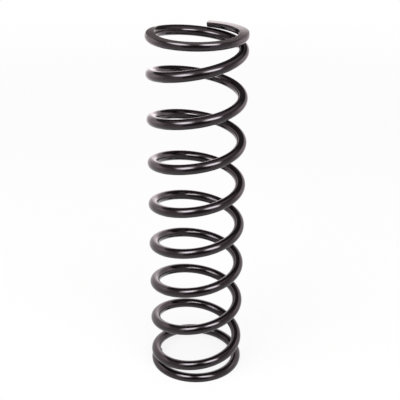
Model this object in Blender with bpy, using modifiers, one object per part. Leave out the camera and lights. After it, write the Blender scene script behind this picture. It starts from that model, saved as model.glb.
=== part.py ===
import math

import bmesh
import bpy

# Coilover spring: right-hand wound from round wire, both ends closed and ground flat.
# Metres, +Z up. The origin is on the axis, in the plane of the lower ground face.

# sizes of the spring
inside_diameter = 0.0650
wire_diameter = 0.0085
free_length = 0.3048
total_turns = 9.75
upper_tip_angle = 80.0

# how the ends open: the pitch as a share of the open one, at every step of coil from each tip
opening_step = 60.0
lower_opening = (0.13, 0.10, 0.0, 0.18, 0.35, 0.46, 0.45, 0.60, 0.83, 0.97, 1.15, 1.0)
upper_opening = (0.37, 0.11, 0.0, 0.0, 0.15, 0.60, 0.66, 0.64, 1.07, 1.15, 0.95, 1.0)
tip_clearance = 0.0003

# what grinding leaves of the wire at the tips, and the edges broken after it
lower_tip_thickness = 0.0050
upper_tip_thickness = 0.0044
bore_chamfer = 0.0007
rim_chamfer = 0.0004

# how finely the coil is drawn
station_degrees = 10.0
wire_bevel_resolution = 6
grinder_sides = 72

# what follows from the sizes
wire_radius = wire_diameter / 2
mean_radius = inside_diameter / 2 + wire_radius
outside_radius = mean_radius + wire_radius
lower_axis_depth = lower_tip_thickness - wire_radius
upper_axis_depth = upper_tip_thickness - wire_radius
total_arc = total_turns * 360.0


def lostTurns(arc, opening):
    """Turns by which the coil is behind an open one, arc degrees from a tip."""
    lost_arc = 0.0
    for step, (share, next_share) in enumerate(zip(opening, opening[1:])):
        into_step = min(max(arc - step * opening_step, 0.0), opening_step)
        mean_share = share + (next_share - share) * into_step / opening_step / 2
        lost_arc += (1.0 - mean_share) * into_step
    return lost_arc / 360.0


# Over its first turn each end rises by one wire and the clearance, so the tip lies on the next coil.
# The open pitch between the two ends then fills the free length.
first_turn_rise = wire_diameter + tip_clearance
axis_rise = free_length - lower_axis_depth - upper_axis_depth
lost_ratio = sum(lostTurns(total_arc, opening) / lostTurns(360.0, opening) for opening in (lower_opening, upper_opening))
open_pitch = (axis_rise - first_turn_rise * lost_ratio) / (total_turns - lost_ratio)


def droop(arc, opening):
    """How far the wire has fallen behind the open pitch, arc degrees from a tip."""
    return (open_pitch - first_turn_rise) * lostTurns(arc, opening) / lostTurns(360.0, opening)


def axisHeight(arc):
    """Height of the wire's centre, arc degrees up the coil from the lower tip."""
    fallen_above = droop(total_arc, upper_opening) - droop(total_arc - arc, upper_opening)
    return lower_axis_depth + open_pitch * arc / 360.0 - droop(arc, lower_opening) - fallen_above


def coilPoints():
    """Centre-line of the wire, from the lower tip to the upper one."""
    steps = round(total_arc / station_degrees)
    points = []
    for step in range(steps + 1):
        arc = total_arc * step / steps
        angle = math.radians(upper_tip_angle - total_arc + arc)
        points.append((mean_radius * math.cos(angle), mean_radius * math.sin(angle), axisHeight(arc)))
    return points


def woundWire(name, collection):
    """Round wire along the coil, as a closed mesh with cut ends."""
    curve = bpy.data.curves.new(name + "_line", "CURVE")
    curve.dimensions = "3D"
    curve.twist_mode = "Z_UP"
    curve.bevel_depth = wire_radius
    curve.bevel_resolution = wire_bevel_resolution
    curve.use_fill_caps = True
    points = coilPoints()
    spline = curve.splines.new("POLY")
    spline.points.add(len(points) - 1)
    for point, place in zip(spline.points, points):
        point.co = (*place, 1.0)
    line = bpy.data.objects.new(name + "_line", curve)
    collection.objects.link(line)
    bpy.context.view_layer.update()

    mesh = bpy.data.meshes.new_from_object(line.evaluated_get(bpy.context.evaluated_depsgraph_get()))
    mesh.name = name
    welded = bmesh.new()
    welded.from_mesh(mesh)
    bmesh.ops.remove_doubles(welded, verts=welded.verts, dist=0.00001)
    bmesh.ops.recalc_face_normals(welded, faces=welded.faces)
    welded.to_mesh(mesh)
    welded.free()
    wire = bpy.data.objects.new(name, mesh)
    wire.matrix_world = line.matrix_world
    collection.objects.link(wire)
    bpy.data.objects.remove(line)
    bpy.data.curves.remove(curve)
    return wire


def endGrinder(name, collection, face_height, outward):
    """Turned cutter: a flat wheel, with a countersink cone into the bore and a lip that slopes past the rim."""
    cone_radius = inside_diameter / 2 + bore_chamfer
    lip_start = outside_radius - rim_chamfer
    lip_end = outside_radius + wire_radius
    profile = [
        (0.0, face_height - outward * cone_radius),
        (cone_radius, face_height),
        (lip_start, face_height),
        (lip_end, face_height - outward * (lip_end - lip_start)),
        (lip_end, face_height + outward * wire_diameter),
        (0.0, face_height + outward * wire_diameter),
    ]
    if outward > 0:
        profile.reverse()
    shape = bmesh.new()
    corners = [shape.verts.new((radius, 0.0, height)) for radius, height in profile]
    for first, second in zip(corners, corners[1:]):
        shape.edges.new((first, second))
    mesh = bpy.data.meshes.new(name)
    shape.to_mesh(mesh)
    shape.free()
    cutter = bpy.data.objects.new(name, mesh)
    collection.objects.link(cutter)
    turned = cutter.modifiers.new("turned", "SCREW")
    turned.steps = grinder_sides
    turned.render_steps = grinder_sides
    turned.use_merge_vertices = True
    turned.merge_threshold = 0.00001
    cutter.hide_render = True
    cutter.display_type = "WIRE"
    return cutter


for leftover in list(bpy.data.objects):
    bpy.data.objects.remove(leftover)

parts = bpy.data.collections.new("coilover_spring")
cutters = bpy.data.collections.new("end_grinding")
for collection in (parts, cutters):
    bpy.context.scene.collection.children.link(collection)

# gloss black powder coat
coat = bpy.data.materials.new("black_powder_coat")
coat.use_nodes = True
shader = coat.node_tree.nodes["Principled BSDF"]
shader.inputs["Base Color"].default_value = (0.006, 0.0055, 0.0055, 1.0)
shader.inputs["Metallic"].default_value = 0.0
shader.inputs["Roughness"].default_value = 0.18
shader.inputs["Coat Weight"].default_value = 0.5

spring = woundWire("coil_spring", parts)
spring.data.materials.append(coat)

for name, face_height, outward in (("lower_grinder", 0.0, -1), ("upper_grinder", free_length, 1)):
    grinding = spring.modifiers.new(name, "BOOLEAN")
    grinding.operation = "DIFFERENCE"
    grinding.solver = "EXACT"
    grinding.object = endGrinder(name, cutters, face_height, outward)

spring.data.shade_smooth()
spring.data.set_sharp_from_angle(angle=math.radians(40.0))
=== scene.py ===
import math

import bpy
from mathutils import Matrix, Vector


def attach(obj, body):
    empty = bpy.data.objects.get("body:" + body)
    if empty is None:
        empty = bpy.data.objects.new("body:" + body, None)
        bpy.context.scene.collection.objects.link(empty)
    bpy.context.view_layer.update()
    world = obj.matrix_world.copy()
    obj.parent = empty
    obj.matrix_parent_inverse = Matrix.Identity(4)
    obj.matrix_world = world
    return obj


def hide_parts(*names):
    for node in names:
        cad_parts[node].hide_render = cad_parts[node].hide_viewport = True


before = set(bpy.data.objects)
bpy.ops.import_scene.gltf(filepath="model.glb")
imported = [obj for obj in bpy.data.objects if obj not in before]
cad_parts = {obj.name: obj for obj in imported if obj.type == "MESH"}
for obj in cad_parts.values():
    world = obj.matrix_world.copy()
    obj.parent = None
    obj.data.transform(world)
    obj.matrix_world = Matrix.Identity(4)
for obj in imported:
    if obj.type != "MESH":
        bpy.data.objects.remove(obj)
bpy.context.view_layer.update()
print("frame loaded:", sorted(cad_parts))


def hexColour(text):
    # sRGB hex to the linear values that shaders take
    channels = [int(text[i:i + 2], 16) / 255 for i in (1, 3, 5)]
    linear = [c / 12.92 if c <= 0.04045 else ((c + 0.055) / 1.055) ** 2.4 for c in channels]
    return (*linear, 1.0)


def noiseScale(millimetres):
    # puts the widest swells of a noise about this far apart on the piece
    return 1000 / millimetres


def addNode(tree, kind, settings=None, inputs=None, links=None):
    # one node with its settings, its input values and the sockets that feed it
    node = tree.nodes.new(kind)
    for name, value in (settings or {}).items():
        setattr(node, name, value)
    for name, value in (inputs or {}).items():
        node.inputs[name].default_value = value
    for name, source in (links or {}).items():
        tree.links.new(source, node.inputs[name])
    return node


def newMaterial(name):
    material = bpy.data.materials.new(name)
    material.use_nodes = True
    material.node_tree.nodes.clear()
    return material, material.node_tree


def clearSelection():
    if bpy.context.object and bpy.context.object.mode != "OBJECT":
        bpy.ops.object.mode_set(mode="OBJECT")
    bpy.ops.object.select_all(action="DESELECT")


def pick(piece):
    clearSelection()
    piece.select_set(True)
    bpy.context.view_layer.objects.active = piece


def weldAndTurnOut(within):
    # in edit mode: doubles merged, faces turned outwards
    bpy.ops.mesh.select_all(action="SELECT")
    bpy.ops.mesh.remove_doubles(threshold=within)
    bpy.ops.mesh.normals_make_consistent(inside=False)


# the coil, wound to the same sizes as the solid

coil = {
    "bore": 0.0650,
    "wire": 0.0085,
    "freeLength": 0.3048,
    "turns": 9.75,
    "upperTipAngle": 80.0,
    "openingStep": 60.0,    # degrees of coil between the shares below
    # the pitch as a share of the open one, counted from each tip
    "lowerEnd": (0.13, 0.10, 0.0, 0.18, 0.35, 0.46, 0.45, 0.60, 0.83, 0.97, 1.15, 1.0),
    "upperEnd": (0.37, 0.11, 0.0, 0.0, 0.15, 0.60, 0.66, 0.64, 1.07, 1.15, 0.95, 1.0),
    "tipGap": 0.0003,       # left between a tip and the next coil
    "lowerTip": 0.0050,     # wire left at the ground tips
    "upperTip": 0.0044,
    "cutEdge": 0.0007,      # radius on the edges of the wire's cut ends
    "cutEdgeSteps": 5,
    "stepDegrees": 2.0,
    "roundness": 14,        # bevel resolution, 30 sides to the wire
    "weld": 0.00001,
}
wireRadius = coil["wire"] / 2
coilRadius = coil["bore"] / 2 + wireRadius
rimRadius = coilRadius + wireRadius
wholeArc = coil["turns"] * 360
lowerDepth = coil["lowerTip"] - wireRadius
upperDepth = coil["upperTip"] - wireRadius


def turnsLost(arc, end):
    # how many turns the closed end is behind an open coil
    step = coil["openingStep"]
    lost = 0
    for i, (share, nextShare) in enumerate(zip(end, end[1:])):
        within = min(max(arc - i * step, 0), step)
        lost += (1 - share - (nextShare - share) * within / step / 2) * within
    return lost / 360


# over its first turn each end rises by one wire and the gap, and the open pitch fills the length
firstRise = coil["wire"] + coil["tipGap"]
lostShare = sum(turnsLost(wholeArc, end) / turnsLost(360, end)
                for end in (coil["lowerEnd"], coil["upperEnd"]))
openPitch = ((coil["freeLength"] - lowerDepth - upperDepth - firstRise * lostShare)
             / (coil["turns"] - lostShare))


def lag(arc, end):
    # how far the wire falls behind an open coil, so many degrees from the tip
    return (openPitch - firstRise) * turnsLost(arc, end) / turnsLost(360, end)


def wirePoint(arc):
    # the wire's centre, so many degrees up from the lower tip
    angle = math.radians(coil["upperTipAngle"] - wholeArc + arc)
    above = lag(wholeArc, coil["upperEnd"]) - lag(wholeArc - arc, coil["upperEnd"])
    height = lowerDepth + openPitch * arc / 360 - lag(arc, coil["lowerEnd"]) - above
    return coilRadius * math.cos(angle), coilRadius * math.sin(angle), height


def wireStations():
    # places along the coil and the share of the wire's thickness there, rounded off at both ends
    edge = coil["cutEdge"]
    rounded = []
    for i in range(coil["cutEdgeSteps"]):
        turn = math.pi / 2 * i / coil["cutEdgeSteps"]
        arc = math.degrees(edge * (1 - math.cos(turn)) / coilRadius)
        rounded.append((arc, 1 - edge * (1 - math.sin(turn)) / wireRadius))
    steps = round(wholeArc / coil["stepDegrees"])
    between = [(wholeArc * i / steps, 1) for i in range(1, steps)]
    return rounded + between + [(wholeArc - arc, share) for arc, share in reversed(rounded)]


def windCoil():
    clearSelection()
    bpy.ops.curve.primitive_nurbs_path_add(location=(0, 0, 0))
    path = bpy.context.object
    path.name = "springWire"
    path.data.splines.clear()
    spline = path.data.splines.new("POLY")
    stations = wireStations()
    spline.points.add(len(stations) - 1)
    for point, (arc, share) in zip(spline.points, stations):
        point.co = (*wirePoint(arc), 1)
        point.radius = share
    path.data.twist_mode = "Z_UP"
    path.data.bevel_depth = wireRadius
    path.data.bevel_resolution = coil["roundness"]
    path.data.use_fill_caps = True
    bpy.ops.object.convert(target="MESH")
    bpy.ops.object.mode_set(mode="EDIT")
    weldAndTurnOut(coil["weld"])
    bpy.ops.object.mode_set(mode="OBJECT")
    return bpy.context.object


wire = windCoil()
print("coil wound:", len(wire.data.polygons), "faces, open pitch", round(openPitch * 1000, 2), "mm")


# both ends ground flat, the edges broken by a dressed wheel

wheel = {
    "boreEdge": 0.0008,     # radius left on the edge at the bore
    "rimEdge": 0.0005,
    "edgeSteps": 6,
    "sweep": 66.0,          # degrees of each round before it runs off straight
    "runOff": 0.004,        # how far it runs off, across
    "thick": 0.02,
    "sides": 180,
    "weld": 0.000001,
    "smoothBelow": 18.0,    # degrees between two faces, past which their edge stays crisp
    "largeFacesLead": 100,  # how much the large faces steer the shading beside them
}


def wheelProfile():
    # radius and height above the ground face, from the cone's point in the bore out to the rim
    boreEdge, rimEdge, sweep = wheel["boreEdge"], wheel["rimEdge"], math.radians(wheel["sweep"])
    boreCentre = coil["bore"] / 2 + boreEdge
    rimCentre = rimRadius - rimEdge
    inner = []
    outer = []
    for i in range(wheel["edgeSteps"] + 1):
        turn = sweep * i / wheel["edgeSteps"]
        inner.append((boreCentre - boreEdge * math.sin(turn), -boreEdge * (1 - math.cos(turn))))
        outer.append((rimCentre + rimEdge * math.sin(turn), -rimEdge * (1 - math.cos(turn))))
    across = wheel["runOff"]
    drop = across * math.tan(sweep)
    inner.append((inner[-1][0] - across, inner[-1][1] - drop))
    outer.append((outer[-1][0] + across, outer[-1][1] - drop))
    back = [(outer[-1][0], wheel["thick"]), (0, wheel["thick"])]
    return [(0, inner[-1][1])] + inner[::-1] + outer + back


def makeWheel(name, face, outward):
    clearSelection()
    profile = wheelProfile()
    bpy.ops.mesh.primitive_plane_add(location=(0, 0, 0))
    cutter = bpy.context.object
    cutter.name = name
    # the plane gives way to the wheel's outline, which is then spun round the axis
    bpy.ops.object.mode_set(mode="EDIT")
    bpy.ops.mesh.delete(type="VERT")
    bpy.ops.object.mode_set(mode="OBJECT")
    mesh = cutter.data
    mesh.vertices.add(len(profile))
    mesh.edges.add(len(profile) - 1)
    for vertex, (radius, height) in zip(mesh.vertices, profile):
        vertex.co = (radius, 0, face + outward * height)
    for i, edge in enumerate(mesh.edges):
        edge.vertices = (i, i + 1)
    mesh.update()
    bpy.ops.object.mode_set(mode="EDIT")
    bpy.ops.mesh.select_all(action="SELECT")
    bpy.ops.mesh.spin(steps=wheel["sides"], angle=2 * math.pi, center=(0, 0, 0), axis=(0, 0, 1))
    weldAndTurnOut(wheel["weld"])
    bpy.ops.object.mode_set(mode="OBJECT")
    return cutter


for name, face, outward in (("lowerWheel", 0.0, -1), ("upperWheel", coil["freeLength"], 1)):
    cutter = makeWheel(name, face, outward)
    grind = wire.modifiers.new("grind", "BOOLEAN")
    grind.operation = "DIFFERENCE"
    grind.solver = "EXACT"
    grind.object = cutter
    pick(wire)
    bpy.ops.object.modifier_apply(modifier="grind")
    bpy.data.objects.remove(cutter)
print("ends ground:", len(wire.data.polygons), "faces")

pick(wire)
bpy.ops.object.shade_smooth_by_angle(angle=math.radians(wheel["smoothBelow"]))
weights = wire.modifiers.new("evenFaces", "WEIGHTED_NORMAL")
weights.keep_sharp = True
weights.weight = wheel["largeFacesLead"]
bpy.ops.object.modifier_apply(modifier="evenFaces")


# finishes

powder = {
    "colour": "#0a0708",
    "sheen": "#ffeef6",         # faint warm cast of the resin in what it mirrors
    "roughness": 0.075,
    "ior": 1.5,
    "peelMm": 8.0,              # orange peel: the long swells that a baked coat is left with
    "peelDetail": 2.0,
    "peelShortWaves": 0.4,
    "peelDepthMm": 0.003,
    "hazeMm": 36.0,             # patches where handling leaves the gloss a little duller
    "hazeDetail": 6.0,
    "hazeShortWaves": 0.65,
    "hazeRange": (0.45, 0.70),  # part of the noise over which a patch comes in
    "haze": 0.045,              # roughness that it adds
    "grazing": 0.4,             # added at the very edge, to calm the thin bright line there
    "grazingFrom": 0.9,
}


def makePowderCoat():
    # gloss black polyester powder coat, sprayed dry and baked: deep black and mirror-like,
    # with a faint orange peel that makes the long highlights waver
    material, tree = newMaterial("glossBlackPowderCoat")
    place = addNode(tree, "ShaderNodeTexCoord").outputs["Object"]
    peel = addNode(tree, "ShaderNodeTexNoise",
                   inputs={"Scale": noiseScale(powder["peelMm"]), "Detail": powder["peelDetail"],
                           "Roughness": powder["peelShortWaves"]},
                   links={"Vector": place})
    bump = addNode(tree, "ShaderNodeBump",
                   inputs={"Strength": 1.0, "Distance": powder["peelDepthMm"] / 1000},
                   links={"Height": peel.outputs["Fac"]})
    haze = addNode(tree, "ShaderNodeTexNoise",
                   inputs={"Scale": noiseScale(powder["hazeMm"]), "Detail": powder["hazeDetail"],
                           "Roughness": powder["hazeShortWaves"]},
                   links={"Vector": place})
    hazeFrom, hazeTo = powder["hazeRange"]
    gloss = addNode(tree, "ShaderNodeMapRange", {"interpolation_type": "SMOOTHSTEP"},
                    {"From Min": hazeFrom, "From Max": hazeTo, "To Min": powder["roughness"],
                     "To Max": powder["roughness"] + powder["haze"]},
                    {"Value": haze.outputs["Fac"]})
    facing = addNode(tree, "ShaderNodeLayerWeight", inputs={"Blend": 0.5})
    edge = addNode(tree, "ShaderNodeMapRange",
                   inputs={"From Min": powder["grazingFrom"], "To Max": powder["grazing"]},
                   links={"Value": facing.outputs["Facing"]})
    dulled = addNode(tree, "ShaderNodeMath", {"operation": "ADD"},
                     links={0: gloss.outputs["Result"], 1: edge.outputs["Result"]})
    shader = addNode(tree, "ShaderNodeBsdfPrincipled",
                     inputs={"Base Color": hexColour(powder["colour"]), "IOR": powder["ior"],
                             "Specular Tint": hexColour(powder["sheen"])},
                     links={"Roughness": dulled.outputs[0], "Normal": bump.outputs["Normal"]})
    addNode(tree, "ShaderNodeOutputMaterial", links={"Surface": shader.outputs["BSDF"]})
    return material


land = {
    "colour": "#2e1f1b",
    "roughness": 0.06,
    "ior": 1.5,
    "secondCoat": 1.0,          # the pass over it mirrors as well
    "grooveMm": 1.4,            # grinding marks, drawn coarse enough to show
    "grooveLong": 14.0,         # how many times longer than wide
    "grooveTurn": 28.0,
    "grooveDetail": 4.0,
    "grooveShortWaves": 0.6,
    "grooveDepthMm": 0.0014,
    "upright": 0.9995,          # a ground face's normal points at least this much up or down
    "within": 0.00002,          # and the face lies this near the end of the spring
}


def makeGroundLand():
    # spring steel ground flat on a disc grinder, under a thin second pass of the coat:
    # glossy, brownish black and faintly scored, pale where it mirrors the back of the tent
    material, tree = newMaterial("thinCoatOverGroundSteel")
    place = addNode(tree, "ShaderNodeTexCoord").outputs["Object"]
    stretch = addNode(tree, "ShaderNodeMapping",
                      inputs={"Scale": (1.0, land["grooveLong"], 1.0),
                              "Rotation": (0, 0, math.radians(land["grooveTurn"]))},
                      links={"Vector": place})
    grooves = addNode(tree, "ShaderNodeTexNoise",
                      inputs={"Scale": noiseScale(land["grooveMm"] * land["grooveLong"]),
                              "Detail": land["grooveDetail"], "Roughness": land["grooveShortWaves"]},
                      links={"Vector": stretch.outputs["Vector"]})
    scored = addNode(tree, "ShaderNodeBump",
                     inputs={"Strength": 1.0, "Distance": land["grooveDepthMm"] / 1000},
                     links={"Height": grooves.outputs["Fac"]}).outputs["Normal"]
    shader = addNode(tree, "ShaderNodeBsdfPrincipled",
                     inputs={"Base Color": hexColour(land["colour"]), "Roughness": land["roughness"],
                             "IOR": land["ior"], "Coat Weight": land["secondCoat"],
                             "Coat Roughness": land["roughness"]},
                     links={"Normal": scored, "Coat Normal": scored})
    addNode(tree, "ShaderNodeOutputMaterial", links={"Surface": shader.outputs["BSDF"]})
    return material


def isGround(polygon):
    height = polygon.center.z
    atAnEnd = height < land["within"] or height > coil["freeLength"] - land["within"]
    return atAnEnd and abs(polygon.normal.z) > land["upright"]


wire.data.materials.clear()
wire.data.materials.append(makePowderCoat())
wire.data.materials.append(makeGroundLand())
for polygon in wire.data.polygons:
    polygon.material_index = 1 if isGround(polygon) else 0
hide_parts("coil_spring")
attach(wire, "root")
print("finishes on")


# camera, from the photograph's own angle

view = {
    "turn": 3.5,            # degrees that the part is turned against the photograph
    "back": 0.63858,
    "height": 0.45452,
    "pitch": 25.98,
    "yaw": 0.27,
    "roll": 0.31,
    "photoPixels": 400,
    "focalPixels": 823.66,
    "centreDown": 18.4,     # pixels from the picture's centre to the optical axis
    "sensorMm": 36.0,
    "sees": (0.01, 50.0),   # nearest and farthest, in metres
}


def makeCamera():
    data = bpy.data.cameras.new("photoCamera")
    camera = bpy.data.objects.new("photoCamera", data)
    bpy.context.collection.objects.link(camera)
    yaw, pitch, roll = (math.radians(view[k]) for k in ("yaw", "pitch", "roll"))
    ahead = Vector((math.sin(yaw) * math.cos(pitch), math.cos(yaw) * math.cos(pitch), -math.sin(pitch)))
    right = Vector((math.cos(yaw), -math.sin(yaw), 0))
    up = right.cross(ahead)
    rolledRight = math.cos(roll) * right + math.sin(roll) * up
    rolledUp = -math.sin(roll) * right + math.cos(roll) * up
    pose = Matrix((rolledRight, rolledUp, -ahead)).transposed().to_4x4()
    pose.translation = (0, -view["back"], view["height"])
    camera.matrix_world = Matrix.Rotation(math.radians(view["turn"]), 4, "Z") @ pose
    data.sensor_width = view["sensorMm"]
    data.lens = view["focalPixels"] / view["photoPixels"] * view["sensorMm"]
    data.shift_y = view["centreDown"] / view["photoPixels"]
    data.clip_start, data.clip_end = view["sees"]
    bpy.context.scene.camera = camera


makeCamera()
print("camera placed")


# the floor and the white room: a strength of 1 is white to the camera and in the gloss

studio = {
    "floorColour": "#f6f5f5",
    "floorSize": 8.0,
    "floorBelow": 0.0002,   # clear of the lower ground face
    "floorGlow": 0.85,      # share of plain white in the paper near the part, the rest takes the shadow
    "shadowReach": 0.5,     # beyond it the paper fades to plain white
    "fadeTo": 1.6,
    "roomWhite": 1.0,
    "roomFill": 0.40,       # what the room gives to colours
}


def whiteRays(tree):
    # one for the rays that see the room or mirror it, nought for those that light colours
    rays = addNode(tree, "ShaderNodeLightPath")
    first = addNode(tree, "ShaderNodeMath", {"operation": "MAXIMUM"},
                    links={0: rays.outputs["Is Camera Ray"], 1: rays.outputs["Is Glossy Ray"]})
    both = addNode(tree, "ShaderNodeMath", {"operation": "MAXIMUM"},
                   links={0: first.outputs[0], 1: rays.outputs["Is Transmission Ray"]})
    return both.outputs[0]


def makeFloor():
    clearSelection()
    bpy.ops.mesh.primitive_plane_add(size=studio["floorSize"], location=(0, 0, -studio["floorBelow"]))
    floor = bpy.context.object
    floor.name = "paleFloor"
    material, tree = newMaterial("palePaper")
    place = addNode(tree, "ShaderNodeTexCoord").outputs["Object"]
    away = addNode(tree, "ShaderNodeVectorMath", {"operation": "LENGTH"}, links={0: place})
    white = addNode(tree, "ShaderNodeMapRange", {"interpolation_type": "SMOOTHSTEP"},
                    {"From Min": studio["shadowReach"], "From Max": studio["fadeTo"],
                     "To Min": studio["floorGlow"], "To Max": 1.0},
                    {"Value": away.outputs["Value"]})
    share = addNode(tree, "ShaderNodeMath", {"operation": "MULTIPLY"},
                    links={0: whiteRays(tree), 1: white.outputs["Result"]})
    paper = addNode(tree, "ShaderNodeBsdfDiffuse", inputs={"Color": hexColour(studio["floorColour"])})
    glow = addNode(tree, "ShaderNodeEmission", inputs={"Color": (1, 1, 1, 1), "Strength": 1.0})
    mix = addNode(tree, "ShaderNodeMixShader",
                  links={0: share.outputs[0], 1: paper.outputs[0], 2: glow.outputs[0]})
    addNode(tree, "ShaderNodeOutputMaterial", links={"Surface": mix.outputs[0]})
    floor.data.materials.append(material)


def makeRoom():
    world = bpy.data.worlds.new("paleRoom")
    bpy.context.scene.world = world
    world.use_nodes = True
    tree = world.node_tree
    tree.nodes.clear()
    level = addNode(tree, "ShaderNodeMapRange",
                    inputs={"To Min": studio["roomFill"], "To Max": studio["roomWhite"]},
                    links={"Value": whiteRays(tree)})
    room = addNode(tree, "ShaderNodeBackground", inputs={"Color": (1, 1, 1, 1)},
                   links={"Strength": level.outputs["Result"]})
    addNode(tree, "ShaderNodeOutputWorld", links={"Surface": room.outputs[0]})


# what the gloss mirrors: a small white tent with a dark roof and bright lamp cloths in it,
# a dark table in front, and the gap that the camera looks through
# places are in metres from the spring's foot, the camera on the side of minus y

roof = {
    "height": 0.42,
    "corners": ((-1.2, -1.3), (1.2, -1.3), (1.2, 0.72), (-1.2, 0.72)),
    "level": 0.12,
    "least": 0.02,              # a cloth that grows darker stops here
    "colour": "#fff4f6",
    "lampColour": "#f7ffff",
    "lampRange": (1.5, 4.0),    # levels over which a cloth takes the lamps' colour
    # each lies over those before it: corners, soft edge, level, and how the level grows along x and y
    "cloths": (
        (((-0.30, 0.59), (0.30, 0.45), (0.30, 0.90), (-0.30, 0.90)), 0.07, 1.45, (0, 0)),
        (((-1.08, 0.18), (-0.35, 0.22), (-0.34, -0.90), (-0.91, -0.67)), 0.30, 0.86, (0, 0)),
        (((1.13, 0.12), (0.48, 0.29), (0.10, -0.56), (0.65, -1.05)), 0.30, 0.60, (0, 0)),
        (((0.06, 0.10), (0.28, 0.10), (0.28, -0.15), (0.06, -0.15)), 0.12, 0.65, (0, 0)),
        (((-0.24, 0.03), (0.18, 0.03), (0.25, -0.25), (-0.12, -0.34)), 0.15, 1.35, (0, 0)),
        (((-0.24, -0.11), (-0.57, -0.50), (-0.47, -0.69), (-0.08, -0.42)), 0.12, 4.3, (-5.7, 10.7)),
        (((0.42, -0.35), (0.69, -0.68), (0.40, -0.65), (0.08, -0.40)), 0.12, 5.0, (-18.0, 3.4)),
        (((-0.08, -0.11), (-0.24, -0.11), (-0.29, -0.38), (-0.10, -0.32)), 0.09, 19.0, (0, 0)),
        (((0.03, -0.15), (0.16, -0.15), (0.38, -0.38), (0.07, -0.35)), 0.09, 20.5, (0, 0)),
    ),
}

walls = {
    # two ends in plan, height, level, colour, and lighter patches, each as its place along and up,
    # its reach along and up, and the level that it adds
    "backLeft": {"ends": ((0.0, 0.68), (-0.58, -0.13)), "top": 0.42, "level": 1.25,
                 "colour": "#fff4f8",
                 "patches": ((0.08, 0.5, 0.25, 0.7, 1.0), (0.72, 0.78, 0.22, 0.5, 1.0))},
    "backRight": {"ends": ((0.0, 0.68), (0.58, -0.13)), "top": 0.40, "level": 1.22,
                  "colour": "#fff4f8",
                  "patches": ((0.12, 0.42, 0.25, 0.6, 1.6), (0.72, 0.68, 0.22, 0.5, 1.1))},
    "sideLeft": {"ends": ((-1.05, 0.5), (-0.66, -1.02)), "top": 0.42, "level": 0.78,
                 "colour": "#fffafc", "patches": ()},
    "sideRight": {"ends": ((1.05, 0.5), (0.57, -1.02)), "top": 0.42, "level": 0.82,
                  "colour": "#fffafc", "patches": ()},
    "cameraGap": {"ends": ((-0.66, -1.02), (0.57, -1.02)), "top": 0.42, "level": 0.13,
                  "colour": "#ffffff", "patches": ()},
}

darkTable = {
    "corners": ((-0.27, -0.44), (0.23, -0.44), (0.56, -1.02), (-0.66, -1.02)),
    "height": 0.0005,       # just over the floor
    "soft": 0.12,
    "level": 0.33,
}


def makeBoard(name, corners):
    # seen in the gloss alone: a board lights no colour and throws no shadow
    clearSelection()
    bpy.ops.mesh.primitive_plane_add(location=(0, 0, 0))
    board = bpy.context.object
    board.name = name
    # a plane holds its corners row by row, so the last two change places
    for vertex, corner in zip(board.data.vertices, (corners[0], corners[1], corners[3], corners[2])):
        vertex.co = corner
    board.matrix_world = Matrix.Rotation(math.radians(view["turn"]), 4, "Z")
    board.visible_camera = False
    board.visible_diffuse = False
    board.visible_shadow = False
    board.visible_volume_scatter = False
    return board


def onPlan(corner):
    return Vector((*corner, 0))


def softQuad(tree, place, corners, soft):
    # one inside the corners and nought outside, with a soft edge
    middle = sum(map(onPlan, corners), Vector()) / 4
    cover = None
    for first, second in zip(corners, corners[1:] + corners[:1]):
        along = onPlan(second) - onPlan(first)
        inward = Vector((-along.y, along.x, 0)).normalized()
        if inward.dot(middle - onPlan(first)) < 0:
            inward = -inward
        edge = inward.dot(onPlan(first))
        across = addNode(tree, "ShaderNodeVectorMath", {"operation": "DOT_PRODUCT"},
                         {1: inward}, {0: place})
        inside = addNode(tree, "ShaderNodeMapRange", {"interpolation_type": "SMOOTHSTEP"},
                         {"From Min": edge - soft / 2, "From Max": edge + soft / 2},
                         {"Value": across.outputs["Value"]})
        if cover is None:
            cover = inside.outputs["Result"]
        else:
            cover = addNode(tree, "ShaderNodeMath", {"operation": "MULTIPLY"},
                            links={0: cover, 1: inside.outputs["Result"]}).outputs[0]
    return cover


def makeRoof():
    board = makeBoard("tentRoof", [(*corner, roof["height"]) for corner in roof["corners"]])
    material, tree = newMaterial("roofCloth")
    place = addNode(tree, "ShaderNodeTexCoord").outputs["Object"]
    level = None
    for corners, soft, brightness, slope in roof["cloths"]:
        cover = softQuad(tree, place, corners, soft)
        middle = sum(map(onPlan, corners), Vector()) / 4
        slope = onPlan(slope)
        grown = addNode(tree, "ShaderNodeVectorMath", {"operation": "DOT_PRODUCT"},
                        {1: slope}, {0: place})
        own = addNode(tree, "ShaderNodeMath", {"operation": "ADD"},
                      {1: brightness - slope.dot(middle)}, {0: grown.outputs["Value"]})
        lit = addNode(tree, "ShaderNodeMath", {"operation": "MAXIMUM"},
                      {1: roof["least"]}, {0: own.outputs[0]})
        # a Mix node's socket names repeat, so they go by number: 2 and 3 are values, 6 and 7 colours
        over = addNode(tree, "ShaderNodeMix", {"data_type": "FLOAT"},
                       {2: roof["level"]}, {0: cover, 3: lit.outputs[0]})
        if level is not None:
            tree.links.new(level, over.inputs[2])
        level = over.outputs[0]
    lampFrom, lampTo = roof["lampRange"]
    cooler = addNode(tree, "ShaderNodeMapRange", inputs={"From Min": lampFrom, "From Max": lampTo},
                     links={"Value": level})
    tint = addNode(tree, "ShaderNodeMix", {"data_type": "RGBA"},
                   {6: hexColour(roof["colour"]), 7: hexColour(roof["lampColour"])},
                   {0: cooler.outputs["Result"]})
    glow = addNode(tree, "ShaderNodeEmission", links={"Color": tint.outputs[2], "Strength": level})
    addNode(tree, "ShaderNodeOutputMaterial", links={"Surface": glow.outputs[0]})
    board.data.materials.append(material)


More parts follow.
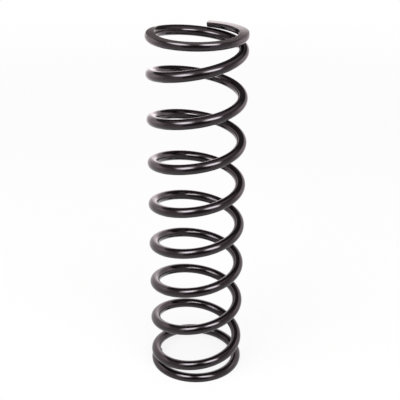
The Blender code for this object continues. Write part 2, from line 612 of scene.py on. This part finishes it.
def makeWall(name, wall):
    (x1, y1), (x2, y2) = wall["ends"]
    top = wall["top"]
    board = makeBoard(name, ((x1, y1, 0), (x2, y2, 0), (x2, y2, top), (x1, y1, top)))
    material, tree = newMaterial(name + "Cloth")
    place = addNode(tree, "ShaderNodeTexCoord").outputs["UV"]
    level = addNode(tree, "ShaderNodeValue").outputs[0]
    level.default_value = wall["level"]
    for along, up, reachAlong, reachUp, extra in wall["patches"]:
        shifted = addNode(tree, "ShaderNodeMapping", {"vector_type": "POINT"},
                          {"Location": (-along / reachAlong, -up / reachUp, 0),
                           "Scale": (1 / reachAlong, 1 / reachUp, 1)},
                          {"Vector": place})
        away = addNode(tree, "ShaderNodeVectorMath", {"operation": "LENGTH"},
                       links={0: shifted.outputs["Vector"]})
        patch = addNode(tree, "ShaderNodeMapRange", {"interpolation_type": "SMOOTHSTEP"},
                        {"To Min": extra, "To Max": 0.0}, {"Value": away.outputs["Value"]})
        level = addNode(tree, "ShaderNodeMath", {"operation": "ADD"},
                        links={0: level, 1: patch.outputs["Result"]}).outputs[0]
    glow = addNode(tree, "ShaderNodeEmission", inputs={"Color": hexColour(wall["colour"])},
                   links={"Strength": level})
    addNode(tree, "ShaderNodeOutputMaterial", links={"Surface": glow.outputs[0]})
    board.data.materials.append(material)


def makeDarkTable():
    board = makeBoard("darkTable", [(*corner, darkTable["height"]) for corner in darkTable["corners"]])
    material, tree = newMaterial("darkTableTop")
    place = addNode(tree, "ShaderNodeTexCoord").outputs["Object"]
    cover = softQuad(tree, place, darkTable["corners"], darkTable["soft"])
    clear = addNode(tree, "ShaderNodeBsdfTransparent")
    glow = addNode(tree, "ShaderNodeEmission", inputs={"Strength": darkTable["level"]})
    mix = addNode(tree, "ShaderNodeMixShader",
                  links={0: cover, 1: clear.outputs[0], 2: glow.outputs[0]})
    addNode(tree, "ShaderNodeOutputMaterial", links={"Surface": mix.outputs[0]})
    board.data.materials.append(material)


# the lamps that light colours, at a plain level

lamps = {
    # turn runs from the camera's side to its right, lift from the horizon up, both in degrees
    "leftLamp": {"turn": -49, "lift": 49, "away": 2.2, "size": 1.4, "power": 28.0},
    "rightLamp": {"turn": 31, "lift": 48, "away": 2.2, "size": 1.4, "power": 28.0},
}
lampTarget = Vector((0, 0, 0.15))    # about the middle of the spring


def makeLamp(name, lamp):
    data = bpy.data.lights.new(name, "AREA")
    data.size = lamp["size"]
    data.energy = lamp["power"]
    piece = bpy.data.objects.new(name, data)
    bpy.context.collection.objects.link(piece)
    around = math.radians(lamp["turn"] + view["turn"] - 90)
    up = math.radians(lamp["lift"])
    outward = Vector((math.cos(around) * math.cos(up), math.sin(around) * math.cos(up), math.sin(up)))
    piece.matrix_world = (Matrix.Translation(lampTarget + outward * lamp["away"])
                          @ outward.to_track_quat("Z", "Y").to_matrix().to_4x4())
    piece.visible_camera = False
    piece.visible_glossy = False    # the boards stand for it in the gloss


makeFloor()
makeRoom()
makeRoof()
for name, wall in walls.items():
    makeWall(name, wall)
makeDarkTable()
for name, lamp in lamps.items():
    makeLamp(name, lamp)
bpy.context.scene.view_settings.view_transform = "Standard"
print("studio lit")
